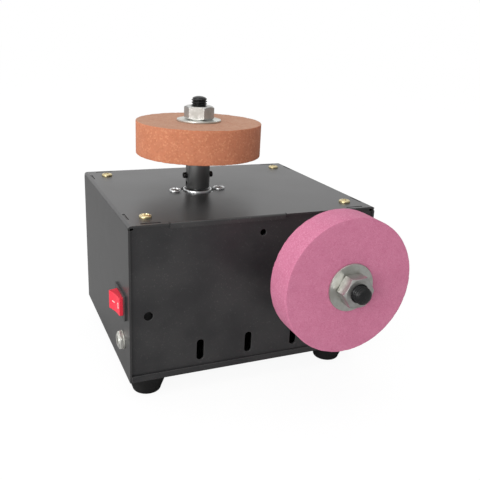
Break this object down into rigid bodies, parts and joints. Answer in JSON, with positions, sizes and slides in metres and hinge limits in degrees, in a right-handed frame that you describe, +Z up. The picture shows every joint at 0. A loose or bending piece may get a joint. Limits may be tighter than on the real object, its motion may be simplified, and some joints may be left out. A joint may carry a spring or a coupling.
{
  "type": "two-wheel bench grinding sharpener",
  "caption": "Motor sharpener: black folded-sheet box on rubber feet, one grinding wheel on an upright spindle on top and one on a horizontal spindle in front.",
  "frame": {"origin": "on the floor plane under the middle of the overall box, feet on z = 0", "axes": "+X to the right along the front panel, +Y from the side wheel to the rear panel, +Z up along the upright spindle"},
  "size_m": [0.208, 0.247, 0.215],
  "materials": {
    "cover_paint": "satin black paint on folded steel",
    "panel_paint": "satin black paint",
    "tray_paint": "satin black paint",
    "bracket_paint": "satin black paint",
    "yellow_zinc": "yellow zinc plate",
    "foot_rubber": "matt moulded rubber",
    "zinc_hardware": "bright zinc plate",
    "switch_plastic": "moulded nylon",
    "rocker_red": "moulded, glossy",
    "plunger_nylon": "moulded nylon",
    "contact_copper": "stamped copper alloy",
    "tinned_brass": "tinned brass",
    "inlet_metal": "nickel plated barrel",
    "inlet_nickel": "nickel plate",
    "motor_steel": "zinc plated drawn steel",
    "end_bell_plastic": "moulded",
    "magnet_ferrite": "sintered ferrite",
    "bearing_steel": "ground bearing steel",
    "shaft_steel": "ground steel",
    "core_iron": "stacked laminations",
    "winding_copper": "enamelled copper wire",
    "commutator_copper": "turned copper",
    "carbon": "pressed carbon",
    "holder_brass": "stamped brass",
    "black_oxide": "black oxide on turned steel",
    "set_screw_steel": "black oxide",
    "washer_zinc": "bright zinc plate",
    "orange_abrasive": "vitrified abrasive grain",
    "nut_zinc": "bright zinc plate",
    "pink_abrasive": "vitrified abrasive grain",
    "red_insulation": "pvc insulation",
    "black_insulation": "pvc insulation"
  },
  "bodies": {
    "housing": {"cover": "cover_paint", "front_panel": "panel_paint", "rear_panel": "panel_paint", "base_tray": "tray_paint", "corner_brackets": "bracket_paint", "cover_screws": "yellow_zinc", "rubber_feet": "foot_rubber", "foot_screws": "zinc_hardware", "foot_nuts": "zinc_hardware", "switch_housing": "switch_plastic", "switch_contact": "contact_copper", "switch_terminals": "tinned_brass", "inlet_body": "inlet_metal", "inlet_nut": "inlet_nickel", "inlet_washer": "inlet_nickel", "inlet_contacts": "tinned_brass", "upright_motor_can": "motor_steel", "upright_end_bell": "end_bell_plastic", "upright_magnets": "magnet_ferrite", "upright_bearing_outers": "bearing_steel", "upright_bearing_balls": "bearing_steel", "upright_brushes": "carbon", "upright_brush_holders": "holder_brass", "upright_motor_screws": "zinc_hardware", "side_motor_can": "motor_steel", "side_end_bell": "end_bell_plastic", "side_magnets": "magnet_ferrite", "side_bearing_outers": "bearing_steel", "side_bearing_balls": "bearing_steel", "side_brushes": "carbon", "side_brush_holders": "holder_brass", "side_motor_screws": "zinc_hardware", "red_wires": "red_insulation", "black_wires": "black_insulation"},
    "upright_spindle": {"upright_bearing_inners": "bearing_steel", "upright_shaft": "shaft_steel", "upright_core": "core_iron", "upright_windings": "winding_copper", "upright_commutator": "commutator_copper", "upright_arbor": "black_oxide", "upright_set_screws": "set_screw_steel", "upright_inner_washer": "washer_zinc", "upright_wheel": "orange_abrasive", "upright_outer_washer": "washer_zinc", "upright_nut": "nut_zinc"},
    "side_spindle": {"side_bearing_inners": "bearing_steel", "side_shaft": "shaft_steel", "side_core": "core_iron", "side_windings": "winding_copper", "side_commutator": "commutator_copper", "side_arbor": "black_oxide", "side_set_screws": "set_screw_steel", "side_inner_washer": "washer_zinc", "side_wheel": "pink_abrasive", "side_outer_washer": "washer_zinc", "side_nut": "nut_zinc"},
    "rocker": {"switch_rocker": "rocker_red", "switch_plunger": "plunger_nylon"}
  },
  "joints": [
    {"name": "upright_spin", "type": "hinge", "parent": "housing", "child": "upright_spindle", "pos_m": [-0.0165, 0.0385, 0.1775], "axis": [0, 0, 1], "continuous": true},
    {"name": "side_spin", "type": "hinge", "parent": "housing", "child": "side_spindle", "pos_m": [0.049, -0.085, 0.098], "axis": [0, -1, 0], "continuous": true},
    {"name": "rocker_tilt", "type": "hinge", "parent": "housing", "child": "rocker", "pos_m": [-0.094, -0.0225, 0.072], "axis": [0, 0, -1], "range_deg": [0, 26]}
  ]
}
